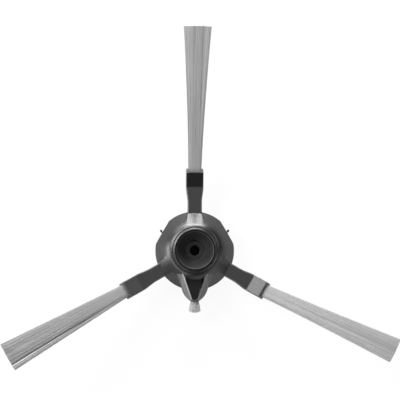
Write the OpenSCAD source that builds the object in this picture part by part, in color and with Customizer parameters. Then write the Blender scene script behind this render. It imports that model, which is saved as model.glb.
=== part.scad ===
/* [Hub] */
// Height of the rim seam, where the bell meets the lip of the drive core
ring_z = 13.5; // [12.5:0.5:16]
// Radius of the bore that takes the drive core
bell_bore_r = 8; // [7:0.1:8.5]
// Radius of the skirt at the foot of the bell
skirt_r = 14.1; // [13:0.1:16]
// Distance from the axis to each flat on the skirt
skirt_flat_d = 13.25; // [12.6:0.05:13.8]
// Height of the underside of the skirt
skirt_z = 5; // [4:0.25:6]
// Thickness of the skirt at its outer edge
skirt_t = 1.4; // [1:0.1:2.5]
// Wall of the bell
bell_wall = 1.6; // [1.2:0.1:2.2]
// Slope of the flare at the rim, as a share of its mean slope
flare_rim_slope = 0.3; // [0:0.05:0.6]
// How late the rest of the flare falls away, 1 is a plain cone
flare_power = 2.2; // [1.6:0.1:2.6]
// How much the flare sweeps out again at the skirt, 0 is a plain dome
flare_sweep = 0.9; // [0:0.1:1.2]

/* [Arms] */
// Direction of the first arm
first_arm_angle = 90; // [0:5:360]
// Width of an arm at its waist
arm_w = 5.15; // [4:0.05:7]
// Height of the level top face of an arm
arm_top_z = 9; // [8:0.25:11]
// Height of the underside of an arm
arm_under_z = 5.2; // [4.5:0.1:6]
// Radius at which the root ramp meets the level part of an arm
ramp_foot_r = 13.4; // [12.5:0.1:15]
// Radius at which the root ramp parts from the flare
ramp_split_r = 10.3; // [9.4:0.1:11.5]
// Width of the root ramp where it parts from the flare
ramp_head_w = 6.2; // [5.5:0.1:9]
// Radius at which the top face of the socket ends
socket_end_r = 28; // [26:0.1:32]
// Length of the socket, from the turn in the arm to its end, seen from above
socket_len = 5.2; // [4:0.1:8]
// Width of the tuft socket
socket_w = 6.25; // [5.5:0.05:8]
// Thickness of the tuft socket
socket_t = 4.4; // [3.6:0.1:5.5]
// Wall round the tuft in its socket
socket_wall = 0.95; // [0.7:0.05:1.3]
// Depth of the tuft in its socket
socket_depth = 6; // [4:0.25:8]
// Slope of the socket and its tuft toward the swept floor
tuft_rise_angle = 22; // [10:1:30]

/* [Long tufts] */
// Reach of the tip of the tuft at the first arm
tuft_a_reach = 77.8; // [60:0.1:90]
// Width of that tuft at its cut end
tuft_a_tip_w = 9.9; // [6:0.1:13]
// How late that tuft spreads, 1 spreads evenly
tuft_a_spread = 1.4; // [0.8:0.1:2.5]
// Sideways set of that tuft
tuft_a_lean = -0.7; // [-6:0.1:6]
// Reach of the tip of the tuft at the second arm
tuft_b_reach = 75.8; // [60:0.1:90]
// Width of that tuft at its cut end
tuft_b_tip_w = 10.4; // [6:0.1:13]
// How late that tuft spreads, 1 spreads evenly
tuft_b_spread = 1; // [0.8:0.1:2.5]
// Sideways set of that tuft
tuft_b_lean = 0; // [-6:0.1:6]
// Reach of the tip of the tuft at the third arm
tuft_c_reach = 78.1; // [60:0.1:90]
// Width of that tuft at its cut end
tuft_c_tip_w = 8.9; // [6:0.1:13]
// How late that tuft spreads, 1 spreads evenly
tuft_c_spread = 1.3; // [0.8:0.1:2.5]
// Sideways set of that tuft
tuft_c_lean = 4; // [-6:0.1:6]
// Thickness of a long tuft at its cut end
tuft_tip_t = 2.6; // [1.6:0.1:4]
// How far the middle of a long tuft's cut end stands past the corners
tuft_bulge = 0.2; // [0:0.1:1]
// Number of bristle ridges across the face of a long tuft
tuft_ridges = 16; // [6:1:24]

/* [Nose] */
// Distance from the axis to the tip of the nose
nose_tip_r = 18.4; // [17:0.1:21]
// Half width of the nose where it leaves the skirt
nose_half_w = 4.85; // [4:0.05:6]
// Height of the two crests at the tip
nose_tip_z = 9.4; // [8:0.1:11]
// Height of the underside of the nose
nose_under_z = 3.4; // [3:0.1:4.5]
// Half width between the crests at the rim
crest_half_w = 5.4; // [4.4:0.1:5.8]
// Distance from the axis to the shoulder of a crest
crest_mid_r = 11; // [9.5:0.1:13]
// Height of that shoulder
crest_mid_z = 12.2; // [11:0.1:13]
// Half width between the crests at the tip
crest_tip_half_w = 1.45; // [0.8:0.05:2]
// Distance from the axis to the end of the crests
crest_tip_r = 17.3; // [16:0.1:19]
// Width of the rounded top of a crest
crest_t = 0.45; // [0.3:0.05:0.8]
// Distance from the axis to the step at the head of the pocket
pocket_step_r = 10.5; // [9.4:0.1:12]
// Height of the floor of the pocket
pocket_floor_z = 7.2; // [6.6:0.1:8]

/* [Short tuft] */
// Reach of the short tuft under the nose
short_reach = 22.2; // [20:0.1:26]
// Width of the short tuft in the nose
short_root_w = 3.1; // [2:0.1:4]
// Thickness of the short tuft in the nose
short_root_t = 1.6; // [1:0.1:2]
// Width of the short tuft at its end
short_tip_w = 4.6; // [3:0.1:6]
// Thickness of the short tuft at its end
short_tip_t = 1.9; // [1:0.1:2.6]
// Slope of the short tuft toward the robot
short_fall_angle = 5; // [0:1:8]
// How far the middle of its cut end stands past the corners
short_bulge = 0.7; // [0:0.1:1.2]
// Number of bristle ridges across the short tuft
short_ridges = 9; // [5:1:14]

/* [Drive core] */
// Radius of the mouth of the dished cup
cup_mouth_r = 7; // [6:0.1:7.4]
// Height of the rounded lip over the seam
lip_h = 0.4; // [0.2:0.1:1]
// Height of the foot of the dish, at the edge of the screw recess
dish_foot_z = 10; // [9.5:0.1:11]
// Radius of the recess for the screw head
recess_r = 3.75; // [3:0.05:5]
// Depth of the recess for the screw head
recess_depth = 1.1; // [0.6:0.1:2]
// Radius of the screw hole
screw_hole_r = 1.65; // [1.2:0.05:2.2]
// Length of the screw hole
screw_hole_len = 2.2; // [1.5:0.1:3]
// Width across the flats of the square drive socket
drive_w = 5; // [4.4:0.1:6]
// Radius of the boss round the drive socket
drive_boss_r = 4.7; // [4.4:0.1:5.2]
// Wall of the outer tube of the core
core_wall = 1.15; // [0.9:0.05:1.6]
// Number of webs between the boss and the tube
core_webs = 6; // [3:1:8]
// Width of a catch under the skirt
catch_w = 2.4; // [1.5:0.1:3.5]
// Thickness of a catch under the skirt
catch_t = 1.1; // [0.8:0.1:1.4]
// Radius of the rounded bead at the end of a catch
catch_bead_r = 0.42; // [0.3:0.02:0.6]

/* [Anchors] */
// Radius of the wire that pins a tuft in its socket
anchor_r = 0.35; // [0.25:0.05:0.45]
// Bite of the wire into each side of the socket
anchor_bite = 0.4; // [0.2:0.05:0.6]

/* [Hidden] */

$fn = 96;

// Cuts overrun the faces they open by this much
overrun = 0.5;
// Gap between pieces that are pressed together
fit_gap = 0.05;
// Facets round the crests of the nose
round_fn = 20;

skirt_top_z = skirt_z + skirt_t;
bell_edge_w = 0.1;
collar_wall = 1.3;
skirt_wall = 1.7;
bell_edge_r = bell_bore_r + bell_edge_w;
collar_r = bell_bore_r + collar_wall;
hollow_out_r = skirt_r - skirt_wall;
arm_angles = [for (i = [0:2]) first_arm_angle + 120 * i];
flat_angles = [for (a = arm_angles) a + 60];
nose_angle = first_arm_angle + 180;
catch_angle = first_arm_angle - 60;

// The flare falls away from the rim like a dome, then sweeps out a little to the skirt
flare_run = skirt_r - bell_edge_r;
flare_rise = ring_z - skirt_top_z;
function flare_fall(t) = flare_rim_slope * t
    + (1 - flare_rim_slope) * pow(t, flare_power) * (1 + flare_sweep * (1 - t));
function flare_z(r) = ring_z - flare_rise * flare_fall(max(0, (r - bell_edge_r) / flare_run));
slope_run = 0.01;
function flare_slope(r) = atan2(flare_z(r - slope_run) - flare_z(r), slope_run);
// The hollow under it lies one wall away, between the skirt and the collar
hollow_shift = 1.1;
function hollow_point(r) = let (a = flare_slope(r))
    [min(hollow_out_r, max(collar_r, r - bell_wall * sin(a))), flare_z(r) - bell_wall * cos(a)];
flare_steps = 24;
hollow_steps = 10;

// Socket corners, worked out from the turn in the top face of the arm
socket_start_r = socket_end_r - socket_len;
socket_top_z = arm_top_z + socket_len * tan(tuft_rise_angle);
socket_low_r = socket_end_r + socket_t * sin(tuft_rise_angle);
socket_low_z = socket_top_z - socket_t * cos(tuft_rise_angle);
socket_turn_r = socket_low_r - (socket_low_z - arm_under_z) / tan(tuft_rise_angle);
socket_face_r = (socket_end_r + socket_low_r) / 2;
socket_face_z = (socket_top_z + socket_low_z) / 2;
socket_side_wall = 0.7;
socket_blend_len = 5.4;
socket_blend_r = socket_start_r - socket_blend_len;
slot_w = socket_w - 2 * socket_side_wall;
slot_t = socket_t - 2 * socket_wall;
root_w = slot_w - 2 * fit_gap;
root_t = slot_t - 2 * fit_gap;
anchor_inset = 1.2;
anchor_depth = socket_depth - anchor_inset;
anchor_len = slot_w + 2 * anchor_bite;

// Half width of an arm at radius r: a waist that opens smoothly to the socket
function ease(t) = let (u = max(0, min(1, t))) u * u * (3 - 2 * u);
function arm_half_w(r) =
    (arm_w + (socket_w - arm_w) * ease((r - socket_blend_r) / socket_blend_len)) / 2;
arm_root_r = 9.5;
arm_plan_steps = 18;

// Root ramp: a sector of a cone from the flare to its crease with the arm, its sides hollow in plan
ramp_run = ramp_foot_r - ramp_split_r;
ramp_steps = 7;
ramp_overlap = 0.9;
ramp_inner_r = bell_edge_r + bell_edge_w;
ramp_end_r = ramp_foot_r + ramp_overlap;
ramp_sink = 0.4;
ramp_side_power = 1.7;
ramp_foot_flare = 0.06;
function ramp_half_w(r) = let (u = (ramp_foot_r - r) / ramp_run)
    arm_w / 2 + ramp_foot_flare + (ramp_head_w - arm_w) / 2 * pow(u, ramp_side_power);

// Plan of the nose: straight cheeks, then a superellipse to the tip
prow_start_r = 12.2;
prow_power = 1.8;
prow_steps = 12;
nose_root_r = 9.2;
cheek_z = 7.6;
pocket_half_w = crest_half_w - crest_t;
pocket_tip_half_w = crest_tip_half_w - crest_t;
crest_head_y = 6.3;
trough_tip = crest_tip_r + crest_t / 4;
trough_bow = 1.25;
trough_steps = 10;
crest_head_z = ring_z + fit_gap;
crest_mid_half_w = crest_half_w
    + (crest_tip_half_w - crest_half_w) * (crest_mid_r - crest_head_y) / (crest_tip_r - crest_head_y);
function prow_w(s) = nose_half_w * pow(sin(s), 2 / prow_power);
function prow_y(s) = prow_start_r + (nose_tip_r - prow_start_r) * pow(cos(s), 2 / prow_power);

short_slot_w = short_root_w + 2 * fit_gap;
short_slot_t = short_root_t + 2 * fit_gap;
short_exit_z = 5.1;
short_depth = 6.4;
short_anchor_depth = short_depth - anchor_inset;
short_anchor_len = short_slot_w + 2 * anchor_bite;

core_r = bell_bore_r - fit_gap;
core_bore_r = core_r - core_wall;
lip_z = ring_z + lip_h;
dish_wall = 1.3;
dish_power = 1.25;
dish_steps = 12;
lip_power = 1.6;
lip_steps = 8;
recess_floor_z = dish_foot_z - recess_depth;
screw_chamfer = 0.35;
socket_roof_z = recess_floor_z - screw_hole_len;
rib_h = 0.12;
rib_w = 0.22;
rib_angles = [50, 190, 290];
web_t = 0.9;
web_z = 0.8;
web_run = core_bore_r - drive_boss_r + 2 * overrun;
drive_corner_r = 0.5;
catch_top_z = skirt_z - fit_gap;
catch_stalk_w = 0.45;
catch_bead_d = 14.1;
catch_bead_shift = 0.3;
catch_hook_h = 1.3;

// Bristle sections
groove_share = 0.24;
side_loss = 0.35;
tuft_steps = 9;
tip_ragged = 0.22;
scatter_angle = 137.5;
lean_run = 5;

// One face of a tuft's section, from side to side: ridges with grooves between them
function tuft_half_t(u, t) = t / 2 * (1 - side_loss * pow(abs(u), 4));
function tuft_row(w, t, n, flip) = [
    for (i = [0:2 * n])
        let (u = (i - n) / n, groove = (i % 2) * groove_share * w / n)
            [u * w / 2, flip * (tuft_half_t(u, t) - groove / 2)]
];
function tuft_section(w, t, n) = concat(
    tuft_row(w, t, n, 1),
    [for (i = [2 * n:-1:0]) tuft_row(w, t, n, -1)[i]]
);

// Places where the sections stand: the root, the mouth, then even steps to the tip
function tuft_places(depth, len) = concat([-depth, 0], [for (i = [1:tuft_steps]) len * i / tuft_steps]);
function spread_at(x, len, power) = x <= 0 ? 0 : pow(x / len, power);
function cut_back(i, x, len, n, bulge) =
    x < len ? 0 : -tip_ragged * abs(sin(i * scatter_angle)) - bulge * pow((i - n) / n, 2);

// Solid of one tuft along +X, with its mouth at the origin
module tuft_solid(depth, len, w0, t0, w1, t1, spread, lean, bulge, n) {
    places = tuft_places(depth, len);
    rows = len(places);
    per = 4 * n + 2;
    points = [
        for (x = places)
            let (
                s = spread_at(x, len, spread),
                turn = lean * max(0, min(1, x / lean_run)),
                section = tuft_section(w0 + (w1 - w0) * s, t0 + (t1 - t0) * s, n)
            )
                for (i = [0:per - 1])
                    let (reach = x + cut_back(min(i, per - 1 - i), x, len, n, bulge), across = section[i].x)
                        [reach - across * sin(turn), reach * tan(turn) + across * cos(turn), section[i].y]
    ];
    sides = [
        for (k = [0:rows - 2], i = [0:per - 1])
            let (a = k * per + i, b = k * per + (i + 1) % per)
                for (tri = [[a, b, a + per], [b, b + per, a + per]]) tri
    ];
    caps = [
        for (i = [0:2 * n - 1])
            let (a = i, b = per - 1 - i, c = per - 2 - i, d = i + 1, t = (rows - 1) * per)
                for (tri = [[a, b, d], [b, c, d], [t + a, t + d, t + b], [t + b, t + d, t + c]]) tri
    ];
    polyhedron(points = points, faces = concat(sides, caps), convexity = 4);
}

// Places a child at the mouth of an arm's socket, +X along the tuft
module at_socket(angle) {
    rotate([0, 0, angle])
        translate([socket_face_r, 0, socket_face_z])
            rotate([0, -tuft_rise_angle, 0])
                children();
}

// Places a child at the mouth under the nose, +X along the short tuft
module at_nose_mouth() {
    rotate([0, 0, nose_angle])
        translate([nose_tip_r, 0, short_exit_z])
            rotate([0, short_fall_angle, 0])
                children();
}

// The flared shell of the bell, with its collar and a shallow hollow under it
module flare_shell() {
    outer = [
        for (i = [0:flare_steps])
            let (r = bell_edge_r + flare_run * i / flare_steps)
                [r, flare_z(r)]
    ];
    hollow = [
        for (i = [0:hollow_steps])
            hollow_point(hollow_shift + hollow_out_r + (collar_r - hollow_out_r) * i / hollow_steps)
    ];
    difference() {
        rotate_extrude()
            polygon(concat(
                [[bell_bore_r, ring_z - bell_edge_w]],
                outer,
                [[skirt_r, skirt_z], [hollow_out_r, skirt_z]],
                hollow,
                [[collar_r, skirt_z], [bell_bore_r, skirt_z]]
            ));
        for (a = flat_angles)
            rotate([0, 0, a])
                translate([skirt_flat_d, -skirt_r, skirt_z - overrun])
                    cube([skirt_r, 2 * skirt_r, ring_z]);
    }
}

// An arm: its side outline crossed with its plan outline
module arm_blank() {
    side = [
        [arm_root_r, arm_under_z],
        [socket_turn_r, arm_under_z],
        [socket_low_r, socket_low_z],
        [socket_end_r, socket_top_z],
        [socket_start_r, arm_top_z],
        [ramp_foot_r, arm_top_z],
        [arm_root_r, skirt_top_z]
    ];
    waist = [
        for (i = [0:arm_plan_steps])
            let (r = socket_blend_r + socket_blend_len * i / arm_plan_steps)
                [r, arm_half_w(r)]
    ];
    half = concat([[arm_root_r, arm_half_w(arm_root_r)]], waist, [[socket_low_r + overrun, socket_w / 2]]);
    plan = concat(half, [for (i = [len(half) - 1:-1:0]) [half[i].x, -half[i].y]]);
    intersection() {
        rotate([90, 0, 0])
            linear_extrude(height = 2 * socket_w, center = true)
                polygon(side);
        linear_extrude(height = 2 * ring_z)
            polygon(plan);
    }
}

// Plan of a ramp, from inside the flare to its overlap with the arm
module ramp_plan() {
    side = [
        for (i = [0:ramp_steps])
            let (r = ramp_inner_r + (ramp_foot_r - ramp_inner_r) * i / ramp_steps)
                [r, ramp_half_w(r)]
    ];
    half = concat(side, [[ramp_end_r, arm_w / 2 - fit_gap]]);
    polygon(concat(half, [for (i = [len(half) - 1:-1:0]) [half[i].x, -half[i].y]]));
}

// The ramp from the flare down to the level part of an arm
module root_ramp() {
    intersection() {
        rotate_extrude()
            polygon([
                [ramp_inner_r, arm_under_z],
                [ramp_inner_r, flare_z(ramp_inner_r) - ramp_sink],
                [ramp_split_r, flare_z(ramp_split_r)],
                [ramp_foot_r, arm_top_z],
                [ramp_end_r, arm_top_z - ramp_overlap],
                [ramp_end_r, arm_under_z]
            ]);
        linear_extrude(height = ring_z)
            ramp_plan();
    }
}

module nose_plan() {
    right = [for (i = [0:prow_steps]) let (s = 90 - 90 * i / prow_steps) [prow_y(s), prow_w(s)]];
    left = [for (i = [prow_steps - 1:-1:0]) [right[i].x, -right[i].y]];
    polygon(concat([[nose_root_r, nose_half_w]], right, left, [[nose_root_r, -nose_half_w]]));
}

// Plan of the trough between the two crests, from the axis outward, its sides bowed inward
function trough_half_w(y) = let (u = (trough_tip - y) / (trough_tip - crest_head_y))
    pocket_tip_half_w + (pocket_half_w - pocket_tip_half_w) * pow(u, trough_bow);
module trough_plan() {
    side = [
        for (i = [0:trough_steps])
            let (y = crest_head_y - overrun + (trough_tip - crest_head_y + overrun) * i / trough_steps)
                [y, trough_half_w(y)]
    ];
    polygon(concat(side, [for (i = [trough_steps:-1:0]) [side[i].x, -side[i].y]]));
}

module crest_ball(x, y, top_z) {
    translate([x, y, top_z - crest_t / 2])
        sphere(r = crest_t / 2, $fn = round_fn);
}

// The nose: cheeks that rise to two crests, which run from the rim to the tip
module nose_blank() {
    difference() {
        hull() {
            translate([0, 0, nose_under_z])
                linear_extrude(height = cheek_z - nose_under_z)
                    nose_plan();
            for (side = [-1, 1]) {
                crest_ball(crest_head_y, side * (crest_half_w - crest_t / 2), crest_head_z);
                crest_ball(crest_mid_r, side * (crest_mid_half_w - crest_t / 2), crest_mid_z);
                crest_ball(crest_tip_r, side * (crest_tip_half_w - crest_t / 2), nose_tip_z);
            }
        }
        translate([0, 0, pocket_floor_z])
            linear_extrude(height = ring_z)
                trough_plan();
    }
}

// The pocket past the curved step, sunk below the flare
module nose_pocket() {
    difference() {
        translate([0, 0, pocket_floor_z])
            linear_extrude(height = ring_z)
                trough_plan();
        translate([0, 0, -overrun])
            cylinder(r = pocket_step_r, h = 2 * ring_z);
    }
}

module bell() {
    color("dimgray")
        difference() {
            union() {
                flare_shell();
                for (a = arm_angles)
                    rotate([0, 0, a]) {
                        arm_blank();
                        root_ramp();
                    }
                rotate([0, 0, nose_angle])
                    nose_blank();
            }
            rotate([0, 0, nose_angle])
                nose_pocket();
            cylinder(r = bell_bore_r, h = 2 * ring_z);
            for (a = arm_angles)
                at_socket(a) {
                    translate([-socket_depth, -slot_w / 2, -slot_t / 2])
                        cube([socket_depth + overrun, slot_w, slot_t]);
                    anchor_wire(-anchor_depth, anchor_len);
                }
            at_nose_mouth() {
                translate([-short_depth, -short_slot_w / 2, -short_slot_t / 2])
                    cube([short_depth + 2 * overrun, short_slot_w, short_slot_t]);
                anchor_wire(-short_anchor_depth, short_anchor_len);
            }
        }
}

// A wire across a socket, at a place along the tuft
module anchor_wire(place, length) {
    translate([place, 0, 0])
        rotate([90, 0, 0])
            cylinder(r = anchor_r, h = length, center = true, $fn = 24);
}

// The dished cup with its lip, tube and boss, turned about the axis
module core_body() {
    dish_run = cup_mouth_r - recess_r;
    dish_rise = lip_z - dish_foot_z;
    dish_top = [
        for (i = [0:dish_steps])
            let (s = i / dish_steps)
                [recess_r + dish_run * s, dish_foot_z + dish_rise * pow(s, dish_power)]
    ];
    lip_run = core_r - cup_mouth_r;
    lip = [
        for (i = [1:lip_steps])
            let (s = i / lip_steps)
                [cup_mouth_r + lip_run * s, lip_z - lip_h * pow(s, lip_power)]
    ];
    under_z = recess_floor_z - dish_wall;
    rotate_extrude()
        polygon(concat(
            [[0, recess_floor_z], [recess_r, recess_floor_z]],
            dish_top,
            lip,
            [
                [core_r, 0],
                [core_bore_r, 0],
                [core_bore_r, lip_z - 2 * dish_wall],
                [drive_boss_r, under_z],
                [drive_boss_r, 0],
                [0, 0]
            ]
        ));
}

// A catch: a flat spring under the skirt, a thin stalk and an upright bead past the flat
module skirt_catch() {
    translate([core_r - overrun, -catch_w / 2, catch_top_z - catch_t])
        cube([skirt_flat_d - core_r - fit_gap, catch_w, catch_t]);
    translate([skirt_flat_d - 2 * overrun, -catch_stalk_w / 2, catch_top_z - catch_t])
        cube([catch_bead_d - skirt_flat_d + 2 * overrun, catch_stalk_w, catch_t]);
    translate([catch_bead_d, catch_bead_shift, catch_top_z - catch_t])
        cylinder(r = catch_bead_r, h = catch_t + catch_hook_h, $fn = 32);
}

module drive_core() {
    color("#3a3a3c")
        difference() {
            union() {
                core_body();
                for (i = [0:core_webs - 1])
                    rotate([0, 0, 360 / core_webs * i])
                        translate([drive_boss_r - overrun, -web_t / 2, web_z])
                            cube([web_run, web_t, recess_floor_z - dish_wall]);
                for (a = rib_angles)
                    rotate([0, 0, a])
                        translate([screw_hole_r + screw_chamfer, -rib_w / 2, recess_floor_z - rib_h])
                            cube([recess_r - screw_hole_r - screw_chamfer / 2, rib_w, 2 * rib_h]);
                for (side = [0, 1])
                    mirror([side, 0, 0])
                        rotate([0, 0, catch_angle])
                            skirt_catch();
            }
            translate([0, 0, socket_roof_z - overrun])
                cylinder(r = screw_hole_r, h = screw_hole_len + 2 * overrun);
            translate([0, 0, recess_floor_z - screw_chamfer])
                cylinder(r1 = screw_hole_r, r2 = screw_hole_r + screw_chamfer, h = screw_chamfer);
            translate([0, 0, -overrun])
                linear_extrude(height = socket_roof_z + overrun)
                    drive_outline();
        }
}

// Square drive socket with rounded corners
module drive_outline() {
    inner = drive_w / 2 - drive_corner_r;
    square([drive_w, 2 * inner], center = true);
    square([2 * inner, drive_w], center = true);
    for (x = [-inner, inner], y = [-inner, inner])
        translate([x, y])
            circle(r = drive_corner_r, $fn = 24);
}

module long_tuft(angle, reach, tip_w, spread, lean) {
    depth = socket_depth - fit_gap;
    length = (reach - socket_face_r) / cos(tuft_rise_angle);
    color("#b4b4b4")
        at_socket(angle)
            difference() {
                tuft_solid(
                    depth, length, root_w, root_t, tip_w, tuft_tip_t, spread, lean, tuft_bulge, tuft_ridges
                );
                anchor_wire(-anchor_depth, anchor_len);
            }
}

module tuft_a() {
    long_tuft(arm_angles[0], tuft_a_reach, tuft_a_tip_w, tuft_a_spread, tuft_a_lean);
}

module tuft_b() {
    long_tuft(arm_angles[1], tuft_b_reach, tuft_b_tip_w, tuft_b_spread, tuft_b_lean);
}

module tuft_c() {
    long_tuft(arm_angles[2], tuft_c_reach, tuft_c_tip_w, tuft_c_spread, tuft_c_lean);
}

module tuft_short() {
    depth = short_depth - fit_gap;
    length = (short_reach - nose_tip_r) / cos(short_fall_angle);
    color("#c8c8c8")
        at_nose_mouth()
            difference() {
                tuft_solid(
                    depth, length, short_root_w, short_root_t, short_tip_w, short_tip_t, 1, 0, short_bulge,
                    short_ridges
                );
                anchor_wire(-short_anchor_depth, short_anchor_len);
            }
}

module tuft_anchors() {
    color("silver") {
        for (a = arm_angles)
            at_socket(a)
                anchor_wire(-anchor_depth, anchor_len);
        at_nose_mouth()
            anchor_wire(-short_anchor_depth, short_anchor_len);
    }
}

bell();
drive_core();
tuft_a();
tuft_b();
tuft_c();
tuft_short();
tuft_anchors();
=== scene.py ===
import math

import bmesh
import bpy
import numpy as np
from mathutils import Matrix, Vector


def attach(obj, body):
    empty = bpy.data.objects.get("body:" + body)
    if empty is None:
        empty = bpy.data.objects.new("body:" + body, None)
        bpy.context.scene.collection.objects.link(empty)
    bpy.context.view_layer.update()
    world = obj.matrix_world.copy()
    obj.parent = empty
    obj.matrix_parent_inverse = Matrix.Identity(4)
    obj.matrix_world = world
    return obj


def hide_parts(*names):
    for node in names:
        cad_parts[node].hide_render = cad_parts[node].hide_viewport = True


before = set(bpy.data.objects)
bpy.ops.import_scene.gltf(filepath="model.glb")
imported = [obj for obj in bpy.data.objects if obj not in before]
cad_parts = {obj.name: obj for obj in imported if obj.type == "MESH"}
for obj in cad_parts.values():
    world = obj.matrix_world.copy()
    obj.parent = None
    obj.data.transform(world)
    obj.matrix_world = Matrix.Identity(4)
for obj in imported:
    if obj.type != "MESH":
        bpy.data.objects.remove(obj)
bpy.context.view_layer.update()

# Bell: one dark grey moulding with the flared hub, three arms, their tuft sockets and the nose.
# It is shot in a polished tool, so its faces are satin and its edges and inner corners are slightly round.
# The arms spring a little, and the middle is bored to take the drive core.
MM = 0.001
WHITE = (1, 1, 1, 1)
bell_voxel = 0.22 * MM
bell_ease_rounds = 2


def grey(level, warmth=0.0):
    """A grey of this level, with its blue lowered by the warmth."""
    return (level, level, level - warmth, 1)


def plain_mesh(piece):
    """Turns a piece and its modifiers into a plain mesh."""
    graph = bpy.context.evaluated_depsgraph_get()
    finished = bpy.data.meshes.new_from_object(piece.evaluated_get(graph))
    piece.modifiers.clear()
    piece.data = finished
    finished.name = piece.name
    return piece


def moulded_piece(node, name, voxel, rounds):
    """A copy of a CAD node with the soft edges and fillets that a mould leaves."""
    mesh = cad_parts[node].data.copy()
    mesh.materials.clear()
    piece = bpy.data.objects.new(name, mesh)
    bpy.context.scene.collection.objects.link(piece)
    work = bmesh.new()
    work.from_mesh(mesh)
    bmesh.ops.remove_doubles(work, verts=work.verts, dist=1e-7)
    work.to_mesh(mesh)
    work.free()
    remesh = piece.modifiers.new("soft_mould", "REMESH")
    remesh.mode = "VOXEL"
    remesh.voxel_size = voxel
    remesh.adaptivity = 0
    remesh.use_smooth_shade = True
    ease = piece.modifiers.new("eased_edges", "SMOOTH")
    ease.factor = 0.5
    ease.iterations = rounds
    return plain_mesh(piece)


# Vertices within the near distance of a turned face are brought to it, fewer over the fade beyond,
# and none past the face's rims. The arms stand at every third of a turn from the first.
true_near = 0.16 * MM
true_fade = 0.08 * MM
true_rim = 0.02 * MM
arm_first = 90
arm_spacing = 120
arm_fade = 6
pocket_half = 4.6 * MM


def read_vertices(piece, label):
    """One row of three numbers for each vertex of a piece."""
    flat = np.empty(len(piece.data.vertices) * 3, dtype=np.float32)
    piece.data.vertices.foreach_get(label, flat)
    return flat.reshape(-1, 3)


def true_to(piece, height, inner, outer, near=true_near, arm_half_angle=180, pocket_r=1):
    """Brings vertices that lie close to a turned face to its exact profile, which a facet only nears."""
    place = read_vertices(piece, "co").astype(np.float64)
    x, y, z = place.T
    r = np.hypot(x, y)
    half_gap = arm_spacing / 2
    off_arm = (np.degrees(np.arctan2(y, x)) - arm_first + half_gap) % arm_spacing - half_gap
    step = 0.01 * MM
    clipped = np.clip(r, inner, outer)
    slope = (height(clipped + step) - height(clipped - step)) / (2 * step)
    upright = 1 / np.hypot(1, slope)
    away = (z - height(clipped)) * upright
    pull = np.clip(1 - (np.abs(away) - near) / true_fade, 0, 1)
    inside = np.clip((r - inner) / true_rim, 0, 1) * np.clip((outer - r) / true_rim, 0, 1)
    in_pocket = (y < -pocket_r) & (np.abs(x) < pocket_half)
    near_arm = np.clip((arm_half_angle - np.abs(off_arm)) / arm_fade, 0, 1)
    move = -away * pull * inside * near_arm * ~in_pocket
    x -= move * slope * upright * x / np.maximum(r, step)
    y -= move * slope * upright * y / np.maximum(r, step)
    z += move * upright
    piece.data.vertices.foreach_set("co", place.astype(np.float32).ravel())
    piece.data.update()


def mark_edges(piece):
    """Stores how far each vertex stands out from its neighbours, as a share of the way to them."""
    place = read_vertices(piece, "co")
    normal = read_vertices(piece, "normal")
    ends = np.empty(len(piece.data.edges) * 2, dtype=np.int32)
    piece.data.edges.foreach_get("vertices", ends)
    ends = ends.reshape(-1, 2)
    way = place[ends[:, 1]] - place[ends[:, 0]]
    length = np.linalg.norm(way, axis=1)
    fall = np.zeros(len(place))
    run = np.zeros(len(place))
    for end, sign in ((0, -1), (1, 1)):
        np.add.at(fall, ends[:, end], sign * (way * normal[ends[:, end]]).sum(axis=1))
        np.add.at(run, ends[:, end], length)
    edge = piece.data.attributes.new("edge", "FLOAT", "POINT")
    edge.data.foreach_set("value", (fall / np.maximum(run, 1e-9)).astype(np.float32))


def shader(name):
    """A new material with its node tree and its surface shader."""
    material = bpy.data.materials.new(name)
    material.use_nodes = True
    tree = material.node_tree
    return material, tree, tree.nodes["Principled BSDF"]


def add(tree, kind, links=None, **settings):
    """Adds a node, sets its properties, and fills its inputs with numbers or other nodes' outputs."""
    node = tree.nodes.new(kind)
    for key, value in settings.items():
        setattr(node, key, value)
    for key, value in (links or {}).items():
        socket = node.inputs[key]
        if isinstance(value, bpy.types.NodeSocket):
            tree.links.new(value, socket)
        else:
            socket.default_value = value
    return node


def maths_in(tree):
    """Makers of maths nodes in one tree: any operation, and the three that are used most."""

    def calc(operation, a, b=0.0, c=0.0, clamp=False):
        links = {0: a, 1: b, 2: c}
        return add(tree, "ShaderNodeMath", links, operation=operation, use_clamp=clamp).outputs[0]

    def plus(a, b):
        return calc("ADD", a, b)

    def minus(a, b):
        return calc("SUBTRACT", a, b)

    def times(a, b):
        return calc("MULTIPLY", a, b)

    return calc, plus, minus, times


def run_between(tree, value, low, high, start=0.0, end=1.0):
    """Runs from start to end while the value goes from low to high, and holds outside."""
    links = {"Value": value, "From Min": low, "From Max": high, "To Min": start, "To Max": end}
    return add(tree, "ShaderNodeMapRange", links).outputs["Result"]


def band(tree, value, low, high, soft):
    """1 where the value lies from low to high, fading to 0 over the soft width."""
    up = run_between(tree, value, low - soft, low)
    down = run_between(tree, value, high, high + soft, 1, 0)
    return add(tree, "ShaderNodeMath", {0: up, 1: down}, operation="MULTIPLY").outputs[0]


def mix(tree, share, first, second):
    """The first colour, going to the second as the share goes to 1."""
    links = {"Factor": share, "A": first, "B": second}
    return add(tree, "ShaderNodeMix", links, data_type="RGBA").outputs["Result"]


def noise(tree, place, scale, detail, **settings):
    """A soft noise at a place, as a number."""
    links = {"Vector": place, "Scale": scale, "Detail": detail, **settings}
    return add(tree, "ShaderNodeTexNoise", links).outputs["Fac"]


def carried(tree, label):
    """A number that the mesh carries."""
    return add(tree, "ShaderNodeAttribute", attribute_name=label).outputs["Fac"]


def object_place(tree):
    """The place on the piece, in metres."""
    return add(tree, "ShaderNodeTexCoord").outputs["Object"]


cloud_scale = 260
grain_scale = 5200
grain_height = 0.02 * MM
satin_smooth = 0.31
satin_rough = 0.4


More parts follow.
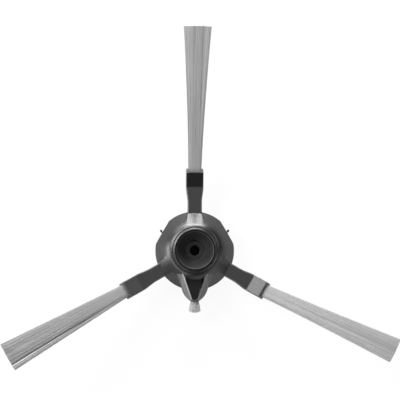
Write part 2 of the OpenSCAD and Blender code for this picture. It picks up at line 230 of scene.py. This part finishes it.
def satin_moulding(name, dark, light, grain):
    """Moulded plastic: faint flow clouds in the colour, fine tool grain, and small changes in gloss."""
    material, tree, surface = shader(name)
    place = object_place(tree)
    clouds = noise(tree, place, cloud_scale, 4, Roughness=0.55)
    fine = noise(tree, place, grain_scale, 3, Roughness=0.6)
    tree.links.new(mix(tree, clouds, grey(dark), grey(light)), surface.inputs["Base Color"])
    gloss = run_between(tree, clouds, 0, 1, satin_smooth, satin_rough)
    tree.links.new(gloss, surface.inputs["Roughness"])
    relief = {"Height": fine, "Strength": grain, "Distance": grain_height}
    bump = add(tree, "ShaderNodeBump", relief)
    tree.links.new(bump.outputs["Normal"], surface.inputs["Normal"])
    return material, tree, surface


# The flare, whose fall is partly even and partly steep, and eases out at the skirt
bore_r = 8 * MM
rim_r = 8.1 * MM
rim_z = 13.5 * MM
skirt_r = 14.1 * MM
skirt_top_z = 6.4 * MM
even_share = 0.3
steep_share = 0.7
steep_power = 2.2
steep_ease = 0.9

# The ramps, which leave the flare and run out into the arms
split_r = 9.78 * MM
foot_r = 13.4 * MM
arm_top_z = 9 * MM
ramp_half_angle = 21
ramp_near = 0.24 * MM
pocket_start_r = 10.4 * MM


def flare_z(r):
    """The height of the flare's outer face."""
    run = np.clip((r - rim_r) / (skirt_r - rim_r), 0, 1)
    steep = steep_share * run**steep_power * (1 + steep_ease * (1 - run))
    return rim_z - (rim_z - skirt_top_z) * (even_share * run + steep)


def ramp_z(r):
    """The height of a ramp's upper face."""
    split_z = flare_z(split_r)
    return split_z + (arm_top_z - split_z) * (r - split_r) / (foot_r - split_r)


bell = moulded_piece("bell", "bell_moulding", bell_voxel, bell_ease_rounds)
true_to(bell, flare_z, bore_r, skirt_r, pocket_r=pocket_start_r)
true_to(bell, ramp_z, split_r, foot_r, near=ramp_near, arm_half_angle=ramp_half_angle)
mark_edges(bell)

# The two crests close in toward the nose's tip. Painted highlights lighten the crests and the cheeks beside
# them, most on the side at -X, which faces the light
crest_start_x = 5.2 * MM
crest_start_y = -6.3 * MM
crest_end_x = 1.25 * MM
crest_end_y = -17.3 * MM
crest_inner = -0.12 * MM
crest_outer = 0.16 * MM
crest_low_z = 8.4 * MM
crest_high_z = 13.3 * MM
cheek_inner = 0.1 * MM
cheek_outer = 1.4 * MM
nose_low_y = -17.4 * MM
nose_high_y = -8.6 * MM
left_highlight = 0.26
right_highlight = 0.12
cheek_highlight = 0.5

bell_plastic, bell_tree, bell_surface = satin_moulding("bell_plastic", dark=0.0006, light=0.002, grain=0.1)
bell.data.materials.append(bell_plastic)
calc, _, minus, times = maths_in(bell_tree)
where = add(bell_tree, "ShaderNodeSeparateXYZ", {0: object_place(bell_tree)}).outputs
crest_slope = (crest_start_x - crest_end_x) / (crest_start_y - crest_end_y)
crest_axis_x = crest_start_x - crest_slope * crest_start_y
crest_x = calc("MULTIPLY_ADD", where["Y"], crest_slope, crest_axis_x)
past_crest = minus(calc("ABSOLUTE", where["X"]), crest_x)
on_nose = band(bell_tree, where["Y"], nose_low_y, nose_high_y, 0.3 * MM)
on_crest = times(band(bell_tree, past_crest, crest_inner, crest_outer, 0.12 * MM), on_nose)
on_crest = times(on_crest, band(bell_tree, where["Z"], crest_low_z, crest_high_z, 0.4 * MM))
on_cheek = times(band(bell_tree, past_crest, cheek_inner, cheek_outer, 1.0 * MM), on_nose)
# Painted highlight on the crests and cheeks, weaker toward +X
painted_highlight = calc("MULTIPLY_ADD", on_cheek, cheek_highlight, on_crest)
painted_highlight = times(painted_highlight, run_between(bell_tree, where["X"], -1 * MM, 1 * MM, left_highlight, right_highlight))

# Painted highlights also lighten the edges of the arms and sockets, where the mesh stands out from its
# neighbourhood
edge_highlight = 0.1
edge_from = 0.03
edge_full = 0.12
highlight_from_r = 14.4 * MM
highlight_to_r = 40 * MM

flat_place = add(bell_tree, "ShaderNodeCombineXYZ", {"X": where["X"], "Y": where["Y"]}).outputs[0]
bell_reach = add(bell_tree, "ShaderNodeVectorMath", {0: flat_place}, operation="LENGTH").outputs["Value"]
on_edge = run_between(bell_tree, carried(bell_tree, "edge"), edge_from, edge_full, 0, edge_highlight)
on_edge = times(on_edge, band(bell_tree, bell_reach, highlight_from_r, highlight_to_r, 1 * MM))
painted_highlight = calc("MAXIMUM", painted_highlight, on_edge)
# The painted highlights mix the plastic's colour toward white
own_colour = bell_surface.inputs["Base Color"].links[0].from_socket
bell_tree.links.new(mix(bell_tree, painted_highlight, own_colour, WHITE), bell_surface.inputs["Base Color"])

# The pocket between the crests is left matt by the tool
bell_gleam = 0.8
pocket_gleam = 0.35
pocket_low_y = -17 * MM
pocket_high_y = -10.6 * MM

between_crests = band(bell_tree, past_crest, -9 * MM, -0.3 * MM, 0.1 * MM)
in_pocket = times(between_crests, band(bell_tree, where["Y"], pocket_low_y, pocket_high_y, 0.1 * MM))
gleam = run_between(bell_tree, in_pocket, 0, 1, bell_gleam, pocket_gleam)
bell_tree.links.new(gleam, bell_surface.inputs["Specular IOR Level"])
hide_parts("bell")
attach(bell, "root")

# Drive core: a harder dark insert pressed up into the bell from the robot's side.
# Its lip and dished cup show in the middle, with the recess for the screw's head and the screw hole.
# Two catches run out under the skirt and hook past its flats.
core_voxel = 0.176 * MM
core_ease_rounds = 2

# The dish rises to its crest, and the lip falls from there to the seam with the bell
dish_foot_r = 3.75 * MM
dish_foot_z = 10 * MM
dish_power = 1.25
crest_r = 7 * MM
crest_z = 13.9 * MM
core_r = 7.95 * MM
seam_z = 13.5 * MM
lip_power = 1.6


def dish_z(r):
    """The height of the dish."""
    run = np.clip((r - dish_foot_r) / (crest_r - dish_foot_r), 0, 1)
    return dish_foot_z + (crest_z - dish_foot_z) * run**dish_power


def lip_z(r):
    """The height of the lip outside the crest."""
    run = np.clip((r - crest_r) / (core_r - crest_r), 0, 1)
    return crest_z - (crest_z - seam_z) * run**lip_power


core = moulded_piece("drive_core", "drive_core_insert", core_voxel, core_ease_rounds)
true_to(core, dish_z, dish_foot_r, crest_r)
true_to(core, lip_z, crest_r, core_r)

# The dish is left matt by the tool, a painted highlight lightens its edge, and a painted shadow line, dark
# and without gloss, parts it from the lip
dish_highlight_inner_r = 6.58 * MM
dish_highlight_outer_r = 6.76 * MM
shadow_line_inner_r = 6.82 * MM
shadow_line_outer_r = 7.12 * MM
ring_soft = 0.08 * MM
lip_start_r = 7.1 * MM
lip_full_r = 7.2 * MM
dish_edge_highlight = 0.05
dish_gleam = 0.15
lip_gleam = 0.8
shadow_line_grey = grey(0.0005)
lip_grey = grey(0.002)

core_plastic, core_tree, core_surface = satin_moulding("core_plastic", dark=0.02, light=0.032, grain=0.25)
core.data.materials.append(core_plastic)
_, _, minus, times = maths_in(core_tree)
level_part = {0: object_place(core_tree), 1: (1, 1, 0)}
flat_place = add(core_tree, "ShaderNodeVectorMath", level_part, operation="MULTIPLY").outputs["Vector"]
core_reach = add(core_tree, "ShaderNodeVectorMath", {0: flat_place}, operation="LENGTH").outputs["Value"]
on_shadow_line = band(core_tree, core_reach, shadow_line_inner_r, shadow_line_outer_r, ring_soft)
gleam = run_between(core_tree, core_reach, lip_start_r, lip_full_r, dish_gleam, lip_gleam)
# The painted shadow line reflects nothing
gleam = times(gleam, minus(1.0, on_shadow_line))
core_tree.links.new(gleam, core_surface.inputs["Specular IOR Level"])
on_edge = times(band(core_tree, core_reach, dish_highlight_inner_r, dish_highlight_outer_r, ring_soft), dish_edge_highlight)
on_lip = run_between(core_tree, core_reach, lip_start_r, lip_full_r)
own_colour = core_surface.inputs["Base Color"].links[0].from_socket
# Painted highlight: the dish's edge goes a little toward white
shade = mix(core_tree, on_edge, own_colour, WHITE)
# Painted shadow: the line between dish and lip goes dark, as shade in a gap
shade = mix(core_tree, on_shadow_line, shade, shadow_line_grey)
shade = mix(core_tree, on_lip, shade, lip_grey)
core_tree.links.new(shade, core_surface.inputs["Base Color"])
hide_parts("drive_core")
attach(core, "root")

# Long tufts: three bundles of straight nylon bristles, packed tight in the sockets and fanned at the end.
# Each bundle is pinned at its fold, leans a little its own way, and parts into locks as it spreads.
bristle_sides = 5
bristle_rings = 10
bristle_r = 0.065 * MM
bristle_count = 1150

# How the bristles crowd to the bundle's faces, how much thinner its sides are, how wide a parting is,
# and how fast and how much a bristle wanders to the side and in height
layer_power = 0.4
side_thinning = 0.35
parting_width = 0.13
sway_pace = 2.2
lift_pace = 2.0
lift_share = 0.4


def tuft_tree():
    """Geometry nodes that fan bristles from a packed root to a cut end, along +X from a socket's mouth."""
    tree = bpy.data.node_groups.new("bristle_tuft", "GeometryNodeTree")
    face = tree.interface
    sockets = {}
    for label, kind in (
        ("Bristles", "NodeSocketInt"),
        ("Seed", "NodeSocketInt"),
        ("Bristle radius", "NodeSocketFloat"),
        ("Root depth", "NodeSocketFloat"),
        ("Free length", "NodeSocketFloat"),
        ("Root width", "NodeSocketFloat"),
        ("Root thickness", "NodeSocketFloat"),
        ("Tip width", "NodeSocketFloat"),
        ("Tip thickness", "NodeSocketFloat"),
        ("Spread power", "NodeSocketFloat"),
        ("Lean", "NodeSocketFloat"),
        ("Lean run", "NodeSocketFloat"),
        ("Ragged", "NodeSocketFloat"),
        ("Bulge", "NodeSocketFloat"),
        ("Undercut", "NodeSocketFloat"),
        ("Wander", "NodeSocketFloat"),
        ("Parting place", "NodeSocketFloat"),
        ("Parting depth", "NodeSocketFloat"),
        ("Parting gap", "NodeSocketFloat"),
        ("Finish", "NodeSocketMaterial"),
    ):
        sockets[label] = face.new_socket(label, in_out="INPUT", socket_type=kind)
    face.new_socket("Geometry", in_out="OUTPUT", socket_type="NodeSocketGeometry")
    given = tree.nodes.new("NodeGroupInput").outputs
    calc, plus, minus, times = maths_in(tree)

    def chance(low, high, salt):
        """A number drawn at random for each bristle."""
        links = {2: low, 3: high, "Seed": plus(given["Seed"], salt)}
        return add(tree, "FunctionNodeRandomValue", links).outputs[1]

    def stored(geometry, label, value):
        """The geometry with a number stored on each point."""
        links = {"Geometry": geometry, "Name": label, "Value": value}
        kind = "GeometryNodeStoreNamedAttribute"
        return add(tree, kind, links, data_type="FLOAT", domain="POINT").outputs["Geometry"]

    def named(label):
        """A number stored earlier."""
        kind = "GeometryNodeInputNamedAttribute"
        return add(tree, kind, {"Name": label}, data_type="FLOAT").outputs["Attribute"]

    def between(value, low, high):
        """The value, held between two others."""
        return calc("MINIMUM", calc("MAXIMUM", value, low), high)

    # One point for each bristle, with its place across and through the bundle
    row = {"Count": given["Bristles"], "Offset": (0, 0, 0)}
    dots = add(tree, "GeometryNodeMeshLine", row, mode="OFFSET")
    number = add(tree, "GeometryNodeInputIndex").outputs[0]
    even = calc("DIVIDE", plus(number, chance(0, 1, 1)), given["Bristles"])
    points = stored(dots.outputs[0], "across", calc("MULTIPLY_ADD", even, 2.0, -1.0))
    layer = chance(-1, 1, 2)
    layer = times(calc("SIGN", layer), calc("POWER", calc("ABSOLUTE", layer), layer_power))
    points = stored(points, "through", layer)
    points = stored(points, "shade", chance(0, 1, 3))
    points = stored(points, "trim", chance(0, 1, 4))
    strand = add(tree, "GeometryNodeCurvePrimitiveLine", {"Start": (0, 0, 0), "End": (1, 0, 0)})
    strand = add(tree, "GeometryNodeResampleCurve", {"Curve": strand.outputs[0], "Count": bristle_rings})
    strands = add(tree, "GeometryNodeInstanceOnPoints", {"Points": points, "Instance": strand.outputs[0]})
    strands = add(tree, "GeometryNodeRealizeInstances", {"Geometry": strands.outputs[0]}).outputs[0]

    # How far along each ring of a bristle lies, from the socket's mouth to the cut end
    share = add(tree, "GeometryNodeSplineParameter").outputs["Factor"]
    across = named("across")
    through = named("through")

    def sideways(power):
        """A power of how far a bristle stands off the bundle's middle, up to 1 at its sides."""
        return calc("POWER", calc("ABSOLUTE", across), power)

    below_top = times(minus(1.0, through), times(given["Tip thickness"], 0.5))
    short_by = times(given["Ragged"], named("trim"))
    short_by = plus(short_by, times(given["Bulge"], sideways(2.0)))
    short_by = calc("MULTIPLY_ADD", below_top, given["Undercut"], short_by)
    whole_run = plus(minus(given["Free length"], short_by), given["Root depth"])
    along = calc("MULTIPLY_ADD", share, whole_run, times(given["Root depth"], -1.0))
    free = calc("MAXIMUM", calc("DIVIDE", along, given["Free length"]), 0.0)
    spread = calc("POWER", free, given["Spread power"])

    def half_of(root, tip):
        """Half the bundle's size at a ring, less the bristle's own radius."""
        size = calc("MULTIPLY_ADD", minus(given[tip], given[root]), spread, given[root])
        return minus(times(size, 0.5), given["Bristle radius"])

    half_width = half_of("Root width", "Tip width")
    half_thickness = half_of("Root thickness", "Tip thickness")

    # The bundle is thinner at its sides, and dips along its parting
    crown = calc("MULTIPLY_ADD", sideways(4.0), -side_thinning, 1.0)
    off_parting = calc("DIVIDE", minus(across, given["Parting place"]), parting_width)
    dip = calc("EXPONENT", times(times(off_parting, off_parting), -1.0))
    dip = times(dip, calc("MINIMUM", times(free, 2.0), 1.0))
    parted = times(dip, given["Parting depth"])
    crown = minus(crown, times(parted, calc("GREATER_THAN", through, 0.0)))
    open_by = times(times(calc("SIGN", off_parting), dip), times(given["Parting gap"], free))

    # Each bristle wanders slowly off its straight line, less at the bundle's sides and less in height
    def wandering(pace, start):
        """A slow noise along each bristle, to both sides of zero."""
        links = {"W": calc("MULTIPLY_ADD", free, pace, start), "Scale": 1.0}
        slow = add(tree, "ShaderNodeTexNoise", links, noise_dimensions="1D").outputs[0]
        return times(minus(slow, 0.5), given["Wander"])

    own_start = times(named("shade"), 90.0)
    sway = times(wandering(sway_pace, own_start), times(free, minus(1.0, sideways(6.0))))
    lift = times(wandering(lift_pace, plus(own_start, 37.0)), times(free, lift_share))
    side = plus(calc("MULTIPLY_ADD", across, half_width, sway), open_by)
    level = plus(times(through, times(crown, half_thickness)), lift)
    level = between(level, times(half_thickness, -1.0), half_thickness)

    # The whole bundle turns to one side just past the socket's mouth, and stays square to its own line
    turn = times(given["Lean"], between(calc("DIVIDE", along, given["Lean run"]), 0.0, 1.0))
    x = minus(along, times(side, calc("SINE", turn)))
    y = plus(times(along, calc("TANGENT", turn)), times(side, calc("COSINE", turn)))
    place = add(tree, "ShaderNodeCombineXYZ", {"X": x, "Y": y, "Z": level}).outputs[0]
    strands = add(tree, "GeometryNodeSetPosition", {"Geometry": strands, "Position": place}).outputs[0]
    strands = stored(strands, "along", free)
    # The parting's depth is kept for the material, which paints shadow into the parting with it
    strands = stored(strands, "parted", parted)

    # Each line is made a round bristle with cut ends
    size = {"Resolution": bristle_sides, "Radius": given["Bristle radius"]}
    ring = add(tree, "GeometryNodeCurvePrimitiveCircle", size, mode="RADIUS").outputs[0]
    sweep = {"Curve": strands, "Profile Curve": ring, "Fill Caps": True}
    tubes = add(tree, "GeometryNodeCurveToMesh", sweep).outputs[0]
    tubes = add(tree, "GeometryNodeSetShadeSmooth", {"Geometry": tubes}).outputs[0]
    whole = add(tree, "GeometryNodeRealizeInstances", {"Geometry": tubes}).outputs[0]
    dressed = {"Geometry": whole, "Material": given["Finish"]}
    whole = add(tree, "GeometryNodeSetMaterial", dressed).outputs[0]
    tree.links.new(whole, tree.nodes.new("NodeGroupOutput").inputs[0])
    return tree, {label: socket.identifier for label, socket in sockets.items()}


# How strongly the shading leans to the bundle's faces, and from which layer out it does so fully.
# A bristle's face counts as side or as cut end by how far it looks along the bundle.
face_lean = 4
face_layer = 0.3
side_look = 0.4
end_look = 0.9
lock_scale = (7, 0.7, 1)
lock_low = 0.3
lock_high = 0.7


def nylon_bristles(name, dark, light, streak, glow, painted_tip_light, angle, rise):
    """Drawn nylon: each bristle has its own shade, streaks run along the locks, and light leaks through.
    The tone is raised or lowered toward the tip as painted light, and a parting is darkened as painted
    shadow.

    The bristles are finer than the eye parts, so their shading leans to that of the bundle's two faces.
    Their cut ends keep their own.
    """
    material, tree, surface = shader(name)
    calc, *_ = maths_in(tree)
    angle = math.radians(angle)
    rise = math.radians(rise)
    up = Vector((-math.sin(rise) * math.cos(angle), -math.sin(rise) * math.sin(angle), math.cos(rise)))
    axis = Vector((math.cos(rise) * math.cos(angle), math.cos(rise) * math.sin(angle), math.sin(rise)))
    own = add(tree, "ShaderNodeNewGeometry").outputs["Normal"]
    end_on = add(tree, "ShaderNodeVectorMath", {0: own, 1: axis}, operation="DOT_PRODUCT").outputs["Value"]
    lean = run_between(tree, carried(tree, "through"), -face_layer, face_layer, -face_lean, face_lean)
    lean = run_between(tree, calc("ABSOLUTE", end_on), side_look, end_look, lean, 0)
    face = add(tree, "ShaderNodeVectorMath", {0: up, "Scale": lean}, operation="SCALE").outputs["Vector"]
    even = add(tree, "ShaderNodeVectorMath", {0: own, 1: face}, operation="ADD").outputs["Vector"]
    even = add(tree, "ShaderNodeVectorMath", {0: even}, operation="NORMALIZE").outputs["Vector"]
    tree.links.new(even, surface.inputs["Normal"])

    along = carried(tree, "along")
    lane = add(tree, "ShaderNodeCombineXYZ", {"X": carried(tree, "across"), "Y": along}).outputs[0]
    lane = add(tree, "ShaderNodeMapping", {"Vector": lane, "Scale": lock_scale}).outputs[0]
    locks = run_between(tree, noise(tree, lane, 1, 3), lock_low, lock_high)
    tone = calc("MULTIPLY_ADD", locks, streak, carried(tree, "shade"))
    tone = run_between(tree, tone, 0, 1 + streak)
    # Painted light: the tone rises or falls toward the tip as the lamps light each tuft
    tone = calc("MULTIPLY_ADD", along, painted_tip_light, tone)
    # Painted shadow darkens the parting
    tone = calc("SUBTRACT", tone, carried(tree, "parted"), clamp=True)
    colour = mix(tree, tone, dark, light)
    tree.links.new(colour, surface.inputs["Base Color"])
    surface.inputs["Roughness"].default_value = 0.7
    surface.inputs["Specular IOR Level"].default_value = 0.2
    leak = add(tree, "ShaderNodeBsdfTranslucent", {"Color": colour, "Normal": even})
    both = add(tree, "ShaderNodeMixShader", {0: glow, 1: surface.outputs[0], 2: leak.outputs[0]})
    tree.links.new(both.outputs[0], tree.nodes["Material Output"].inputs["Surface"])
    return material


tuft_maker, tuft_inputs = tuft_tree()


def make_tuft(name, place, finish, sizes):
    """Runs the tuft tree with these sizes and puts the bundle at its socket's mouth."""
    tuft = bpy.data.objects.new(name, bpy.data.meshes.new(name))
    bpy.context.scene.collection.objects.link(tuft)
    run = tuft.modifiers.new("bristles", "NODES")
    run.node_group = tuft_maker
    for label, value in sizes.items():
        run[tuft_inputs[label]] = value
    run[tuft_inputs["Finish"]] = finish
    plain_mesh(tuft)
    tuft.data.transform(place)
    return tuft


def socket_mouth(angle, r, z, rise):
    """The place of a socket's mouth, with +X out along the tuft. Angles are in degrees."""
    return (
        Matrix.Rotation(math.radians(angle), 4, "Z")
        @ Matrix.Translation((r, 0, z))
        @ Matrix.Rotation(-math.radians(rise), 4, "Y")
    )


# The sockets' mouths and slope, as the arms are moulded
socket_face_r = 28.824 * MM
socket_face_z = 9.06 * MM
tuft_rise = 22
tuft_slope = math.radians(tuft_rise)

# The reach is a tuft's radius in the photo, and the overhang is how far its top bristles run past that.
# A parting has its place across the bundle, its depth and its gap.
# The three nylons differ in their greys to paint the light and shade each tuft gets: lit and shaded copies
# of one nylon
long_tufts = {
    "tuft_a": {
        "finish": "grey_nylon_a",
        "angle": 90,
        "seed": 11,
        "reach": 77.8 * MM,
        "overhang": 0.75 * MM,
        "tip_width": 9.9 * MM,
        "spread": 1.4,
        "lean": -0.7,
        "parting": (-0.5, 0.2, 0),
        "nylon": {
            "dark": grey(0.44),
            "light": grey(0.84, 0.005),
            "streak": 3.5,
            "glow": 0.3,
            "painted_tip_light": 0.3,
        },
    },
    "tuft_b": {
        "finish": "grey_nylon_b",
        "angle": 210,
        "seed": 27,
        "reach": 75.8 * MM,
        "overhang": 0.45 * MM,
        "tip_width": 10.4 * MM,
        "spread": 1.0,
        "lean": 0.0,
        "parting": (0.66, 0.4, 0.2 * MM),
        "nylon": {
            "dark": grey(0.39),
            "light": grey(0.57, 0.005),
            "streak": 2.5,
            "glow": 0.25,
            "painted_tip_light": 0,
        },
    },
    "tuft_c": {
        "finish": "grey_nylon_c",
        "angle": 330,
        "seed": 43,
        "reach": 78.1 * MM,
        "overhang": 0.4 * MM,
        "tip_width": 8.9 * MM,
        "spread": 1.3,
        "lean": 4.0,
        "parting": (-0.1, 0.12, 0),
        "nylon": {
            "dark": grey(0.35),
            "light": grey(0.52, 0.005),
            "streak": 3.5,
            "glow": 0.2,
            "painted_tip_light": -0.4,
        },
    },
}

for node, facts in long_tufts.items():
    tuft = make_tuft(
        node + "_bristles",
        socket_mouth(facts["angle"], socket_face_r, socket_face_z, tuft_rise),
        nylon_bristles(facts["finish"], **facts["nylon"], angle=facts["angle"], rise=tuft_rise),
        {
            "Bristles": bristle_count,
            "Seed": facts["seed"],
            "Bristle radius": bristle_r,
            "Root depth": 5.95 * MM,
            "Free length": (facts["reach"] - socket_face_r) / math.cos(tuft_slope) + facts["overhang"],
            "Root width": 4.75 * MM,
            "Root thickness": 2.4 * MM,
            "Tip width": facts["tip_width"],
            "Tip thickness": 2.0 * MM,
            "Spread power": facts["spread"],
            "Lean": math.radians(facts["lean"]),
            "Lean run": 5 * MM,
            "Ragged": 0.3 * MM,
            "Bulge": 0.2 * MM,
            "Undercut": math.tan(tuft_slope),
            "Wander": 0.3 * MM,
            "Parting place": facts["parting"][0],
            "Parting depth": facts["parting"][1],
            "Parting gap": facts["parting"][2],
        },
    )
    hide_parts(node)
    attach(tuft, "root")

# Short tuft: white nylon, set low in the tip of the nose and cut to a shallow curve.
# It sweeps close to the hub, on the robot's side of the long tufts.
nose_angle = 270
nose_tip_r = 18.4 * MM
short_exit_z = 5.1 * MM
short_rise = -5

white_nylon = nylon_bristles(
    "white_nylon",
    dark=grey(0.78, 0.01),
    light=grey(0.93, 0.01),
    streak=1.0,
    glow=0.35,
    painted_tip_light=0,
    angle=nose_angle,
    rise=short_rise,
)
short_tuft = make_tuft(
    "tuft_short_bristles",
    socket_mouth(nose_angle, nose_tip_r, short_exit_z, short_rise),
    white_nylon,
    {
        "Bristles": 330,
        "Seed": 71,
        "Bristle radius": bristle_r,
        "Root depth": 6.35 * MM,
        "Free length": 3.81 * MM,
        "Root width": 3.1 * MM,
        "Root thickness": 1.6 * MM,
        "Tip width": 4.6 * MM,
        "Tip thickness": 1.9 * MM,
        "Spread power": 1.0,
        "Lean": 0.0,
        "Lean run": 5 * MM,
        "Ragged": 0.25 * MM,
        "Bulge": 0.7 * MM,
        "Undercut": 0.0,
        "Wander": 0.3 * MM,
        "Parting place": 2.0,
        "Parting depth": 0.0,
        "Parting gap": 0.0,
    },
)
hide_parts("tuft_short")
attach(short_tuft, "root")


# Anchor wires: four short lengths of drawn steel wire, hidden in the sockets.
# Each lies across its socket through the fold of the tuft, and bites into the walls at both ends.
def drawn_wire(name):
    """Bright steel wire with fine lines from the drawing die."""
    material, tree, surface = shader(name)
    lines = noise(tree, object_place(tree), 3000, 2)
    tree.links.new(mix(tree, lines, grey(0.4, -0.01), grey(0.62, -0.01)), surface.inputs["Base Color"])
    surface.inputs["Metallic"].default_value = 1
    surface.inputs["Roughness"].default_value = 0.3
    return material


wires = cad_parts["tuft_anchors"].data
wires.materials.clear()
wires.materials.append(drawn_wire("anchor_steel"))

# Table: a plain pale sheet, which the camera sees as white with a faint shadow.
# A painted shadow, a dark patch under the hub's middle, keeps the screw hole dark.
shadow_patch_r = 8 * MM
shadow_patch_end_r = 11 * MM
floor_half = 1.2
shown_white = 0.92
gloss_share = 0.75
gloss_dimming = -0.3

floor_mesh = bpy.data.meshes.new("table")
corners = [(-floor_half, -floor_half, 0), (floor_half, -floor_half, 0)]
corners += [(floor_half, floor_half, 0), (-floor_half, floor_half, 0)]
floor_mesh.from_pydata(corners, [], [(0, 1, 2, 3)])
floor = bpy.data.objects.new("table", floor_mesh)
bpy.context.scene.collection.objects.link(floor)
floor_material, floor_tree, floor_surface = shader("table_white")
floor_surface.inputs["Roughness"].default_value = 0.7
calc, plus, _, times = maths_in(floor_tree)
ray = add(floor_tree, "ShaderNodeLightPath").outputs
spot = add(floor_tree, "ShaderNodeVectorMath", {0: object_place(floor_tree)}, operation="LENGTH")
past_shadow_patch = run_between(floor_tree, spot.outputs["Value"], shadow_patch_r, shadow_patch_end_r)
sheet = mix(floor_tree, past_shadow_patch, grey(0.01), grey(0.9))
floor_tree.links.new(sheet, floor_surface.inputs["Base Color"])
bright = calc("MULTIPLY_ADD", ray["Is Glossy Ray"], gloss_dimming, 1.0)
glow = add(floor_tree, "ShaderNodeEmission", {"Color": WHITE, "Strength": bright})
seen = plus(ray["Is Camera Ray"], times(ray["Is Glossy Ray"], gloss_share))
seen = calc("ADD", seen, ray["Is Transmission Ray"], clamp=True)
seen = times(seen, times(past_shadow_patch, shown_white))
both = add(floor_tree, "ShaderNodeMixShader", {0: seen, 1: floor_surface.outputs[0], 2: glow.outputs[0]})
floor_tree.links.new(both.outputs[0], floor_tree.nodes["Material Output"].inputs["Surface"])
floor_mesh.materials.append(floor_material)

# Light: a ring of soft lamps round the hub, strongest behind it and on its left, in a dim pale room
room_strength = 0.05

world = bpy.data.worlds.new("room")
bpy.context.scene.world = world
world.use_nodes = True
room = world.node_tree
dim = room.nodes["Background"]
dim.inputs["Color"].default_value = WHITE
dim.inputs["Strength"].default_value = room_strength
white = add(room, "ShaderNodeBackground", {"Color": WHITE, "Strength": 1.0})
seen = add(room, "ShaderNodeLightPath").outputs["Is Camera Ray"]
both = add(room, "ShaderNodeMixShader", {0: seen, 1: dim.outputs[0], 2: white.outputs[0]})
room.links.new(both.outputs[0], room.nodes["World Output"].inputs["Surface"])

hub_centre = Vector((0, 0, 9 * MM))
lamp_distance = 0.6


def soft_lamp(name, azimuth, elevation, wide, tall, radiance):
    """A flat lamp that faces the hub. All angles are in degrees from the hub, azimuth from +X toward +Y."""
    data = bpy.data.lights.new(name, "AREA")
    data.shape = "RECTANGLE"
    data.size = 2 * lamp_distance * math.tan(math.radians(wide / 2))
    data.size_y = 2 * lamp_distance * math.tan(math.radians(tall / 2))
    data.energy = radiance * math.pi * data.size * data.size_y
    lamp = bpy.data.objects.new(name, data)
    bpy.context.scene.collection.objects.link(lamp)
    a = math.radians(azimuth)
    e = math.radians(elevation)
    toward = Vector((math.cos(a) * math.cos(e), math.sin(a) * math.cos(e), math.sin(e)))
    up = Vector((-math.cos(a) * math.sin(e), -math.sin(a) * math.sin(e), math.cos(e)))
    turned = Matrix((up.cross(toward), up, toward)).transposed().to_4x4()
    lamp.matrix_world = Matrix.Translation(hub_centre + toward * lamp_distance) @ turned


soft_lamp("back_key", 90, 17, 30, 12, 24)
soft_lamp("back_low", 90, 5.5, 34, 11, 22)
soft_lamp("high_key", 150, 40, 24, 24, 11.5)
soft_lamp("left_low", 180, 5.5, 30, 11, 11)
soft_lamp("left_key", 180, 17, 30, 12, 4)
soft_lamp("link_low", 120, 5.5, 30, 11, 7)
soft_lamp("link_high", 120, 34, 25, 22, 4)
soft_lamp("left_edge", 210, 25, 26, 10, 5)
soft_lamp("left_front", 240, 25, 26, 10, 5)
soft_lamp("right_high", 30, 40, 24, 24, 1.8)
soft_lamp("right_low", 325, 16, 60, 30, 1.0)
soft_lamp("front_low", 285, 8, 30, 14, 1.0)
soft_lamp("ceiling", 40, 80, 52, 46, 0.85)

# Camera: looks down on the swept side, a little from the nose's side, framed as the photograph
px_per_mm = 2.79
photo_px = 400
hub_px_x = 194.8
hub_px_y = 250.6
camera_distance = 0.8
camera_lean = math.radians(3.5)
camera_side = math.radians(-1.5)

aim_x = (photo_px / 2 - hub_px_x) / px_per_mm * MM
aim_y = (hub_px_y - photo_px / 2) / px_per_mm * MM
aim = Vector((aim_x, aim_y, hub_centre.z))
back = Vector((math.sin(camera_side), -math.sin(camera_lean), math.cos(camera_lean))).normalized()
lens = bpy.data.cameras.new("camera")
lens.sensor_width = 36
lens.lens = lens.sensor_width * camera_distance / (photo_px / px_per_mm * MM)
lens.clip_start = 0.01
lens.clip_end = 20
camera = bpy.data.objects.new("camera", lens)
bpy.context.scene.collection.objects.link(camera)
across = Vector((1, 0, 0))
across = (across - back * across.dot(back)).normalized()
turned = Matrix((across, back.cross(across), back)).transposed().to_4x4()
camera.matrix_world = Matrix.Translation(aim + back * camera_distance) @ turned
bpy.context.scene.camera = camera
bpy.context.scene.view_settings.view_transform = "Standard"
